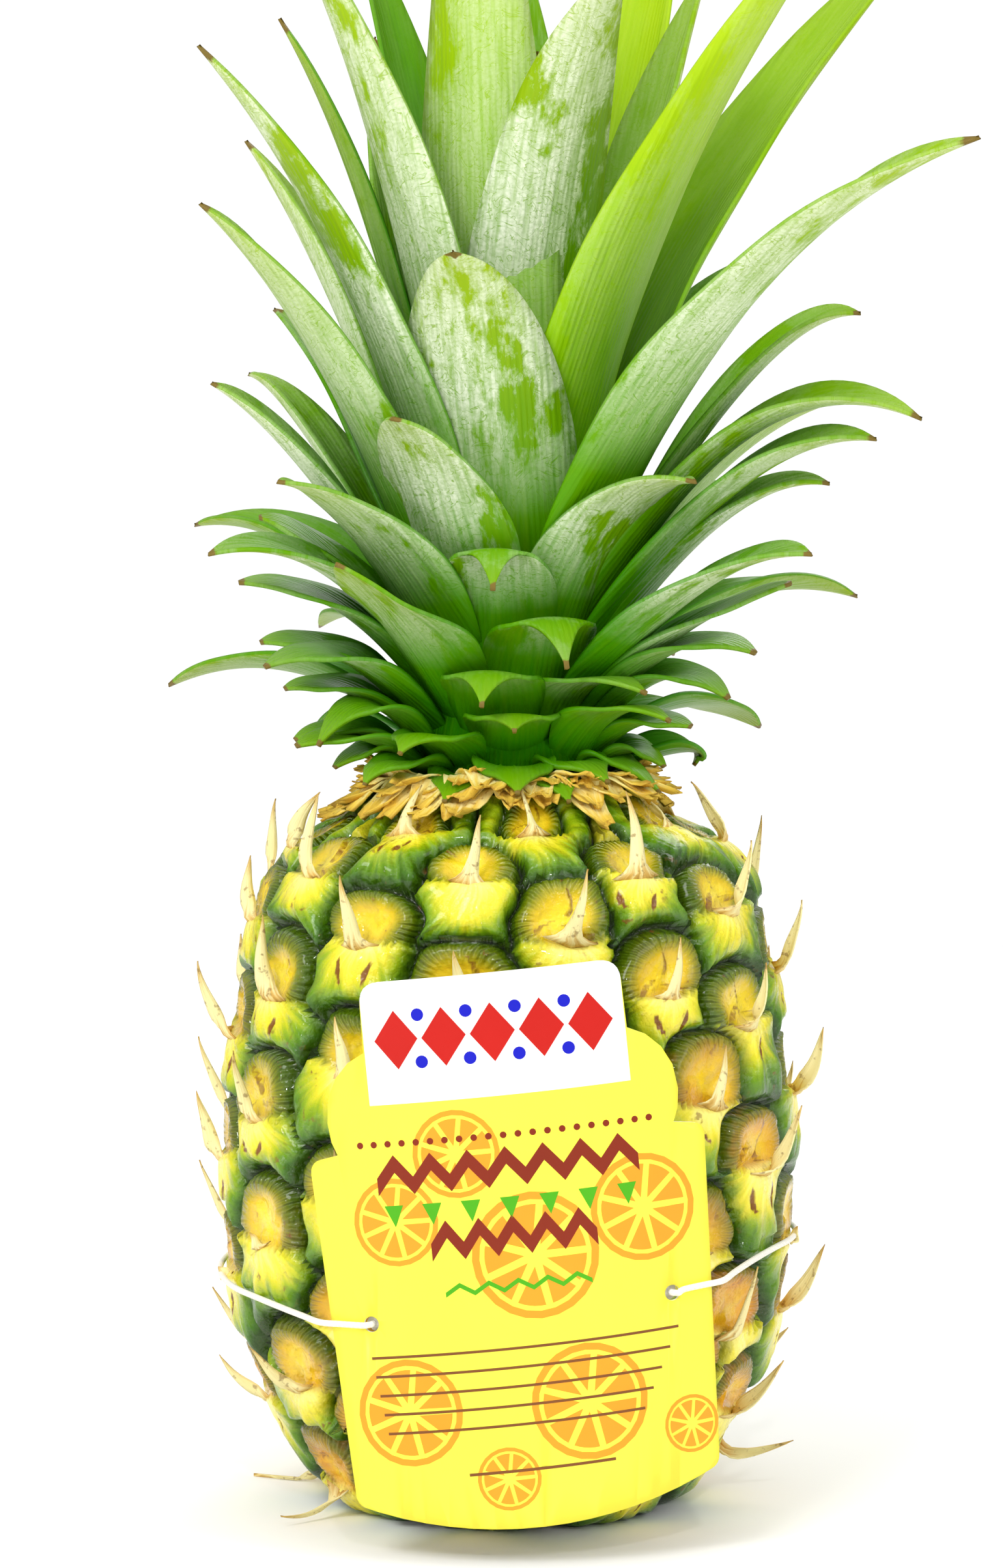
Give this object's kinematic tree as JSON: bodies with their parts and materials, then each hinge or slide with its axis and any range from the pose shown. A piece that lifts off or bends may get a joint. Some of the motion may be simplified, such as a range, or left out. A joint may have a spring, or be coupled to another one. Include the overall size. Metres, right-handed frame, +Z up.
{
  "type": "pineapple",
  "caption": "Whole fresh pineapple standing on its base, with its crown of leaves and a card tag held round the fruit by a thin elastic.",
  "frame": {"origin": "centre of the flat base that the fruit stands on", "axes": "+Z up through the crown, -Y towards the card tag at the front, +X to the right of it"},
  "size_m": [0.1814, 0.1711, 0.3793],
  "materials": {
    "fruit_rind": "waxy green and golden rind of raised eyes, a slight gloss, with dry pointed bracts",
    "crown_leaf": "tough green leaves, satin, with a patchy grey bloom on the outer faces and dry tips",
    "dry_bract": "dry papery tan and brown bracts, matt",
    "tag_card": "coated printed card, slight gloss, yellow with a white upper panel",
    "elastic": "off-white round elastic, matt"
  },
  "bodies": {
    "root": {"fruit": "fruit_rind", "crown": "crown_leaf", "dry_bract_collar": "dry_bract", "tag": "tag_card", "tag_elastic": "elastic"}
  },
  "joints": []
}
